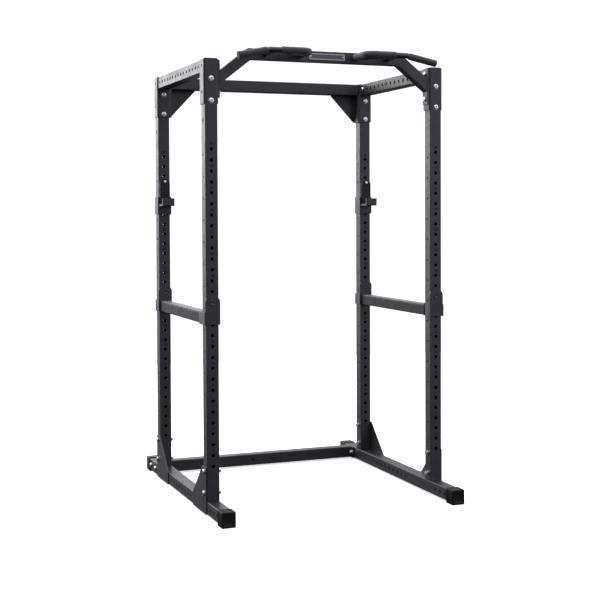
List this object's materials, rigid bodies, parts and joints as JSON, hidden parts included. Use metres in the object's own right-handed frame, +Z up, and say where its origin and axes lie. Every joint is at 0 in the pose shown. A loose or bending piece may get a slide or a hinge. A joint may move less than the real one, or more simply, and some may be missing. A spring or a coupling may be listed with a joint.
{
  "type": "power cage",
  "caption": "Free-standing power cage: perforated square uprights on foot rails with a multi-grip pull-up bar, J-cups on the rear uprights and sliding-off spotter bars.",
  "frame": {"origin": "on the floor, midway between the uprights", "axes": "+X to the cage's right seen from the front, +Y to the back, +Z up"},
  "size_m": [1.226, 1.36, 2.145],
  "materials": {
    "black_powder_coat": "fine textured matte powder coat",
    "zinc_steel": "bright zinc plate",
    "black_plastic": "moulded, fine grain",
    "grey_plastic": "smooth matte wear strip",
    "black_rubber": "moulded matte rubber",
    "grip_foam": "matte closed-cell grip sleeve",
    "sign_plate": "plain blank plate"
  },
  "bodies": {
    "frame": {"foot_bolts": "zinc_steel", "foot_caps": "black_rubber", "foot_plates": "black_powder_coat", "foot_rail_left": "black_powder_coat", "foot_rail_right": "black_powder_coat", "grip_bar_left": "black_powder_coat", "grip_bar_right": "black_powder_coat", "grip_plugs": "grip_foam", "grip_sleeve_inner_left": "grip_foam", "grip_sleeve_inner_right": "grip_foam", "grip_sleeves_outer": "grip_foam", "grip_struts": "black_powder_coat", "hex_nuts": "zinc_steel", "pullup_beam": "black_powder_coat", "pullup_bolts": "zinc_steel", "pullup_end_plates": "black_powder_coat", "pullup_leg_left": "black_powder_coat", "pullup_leg_right": "black_powder_coat", "rail_bolts": "zinc_steel", "rail_saddles": "black_powder_coat", "rail_spigots": "black_powder_coat", "rear_bottom_bolts": "zinc_steel", "rear_bottom_crossmember": "black_powder_coat", "rear_bottom_end_plates": "black_powder_coat", "rear_top_crossmember": "black_powder_coat", "rear_top_end_plates": "black_powder_coat", "rear_top_gussets": "black_powder_coat", "saddle_bolts": "zinc_steel", "sign_plate": "sign_plate", "top_rail_left": "black_powder_coat", "top_rail_right": "black_powder_coat", "upright_caps": "black_plastic", "upright_front_left": "black_powder_coat", "upright_front_right": "black_powder_coat", "upright_rear_left": "black_powder_coat", "upright_rear_right": "black_powder_coat", "washers": "zinc_steel"},
    "jcup_left": {"jcup_hook_left": "black_powder_coat", "jcup_liner_left": "black_plastic", "jcup_peg_left": "zinc_steel", "jcup_screw_left": "zinc_steel"},
    "jcup_right": {"jcup_hook_right": "black_powder_coat", "jcup_liner_right": "black_plastic", "jcup_peg_right": "zinc_steel", "jcup_screw_right": "zinc_steel"},
    "spotter_left": {"spotter_bar_left": "black_powder_coat", "spotter_front_bracket_left": "black_powder_coat", "spotter_pegs_left": "zinc_steel", "spotter_rear_bracket_left": "black_powder_coat", "spotter_strip_left": "grey_plastic"},
    "spotter_right": {"spotter_bar_right": "black_powder_coat", "spotter_front_bracket_right": "black_powder_coat", "spotter_pegs_right": "zinc_steel", "spotter_rear_bracket_right": "black_powder_coat", "spotter_strip_right": "grey_plastic"}
  },
  "joints": [
    {"name": "jcup_left_pull", "type": "slide", "parent": "frame", "child": "jcup_left", "axis": [0, -1, 0], "range_m": [0, 0.1]},
    {"name": "spotter_left_shift", "type": "slide", "parent": "frame", "child": "spotter_left", "axis": [0, -1, 0], "range_m": [0, 0.016]},
    {"name": "jcup_right_pull", "type": "slide", "parent": "frame", "child": "jcup_right", "axis": [0, -1, 0], "range_m": [0, 0.1]},
    {"name": "spotter_right_shift", "type": "slide", "parent": "frame", "child": "spotter_right", "axis": [0, -1, 0], "range_m": [0, 0.016]}
  ]
}
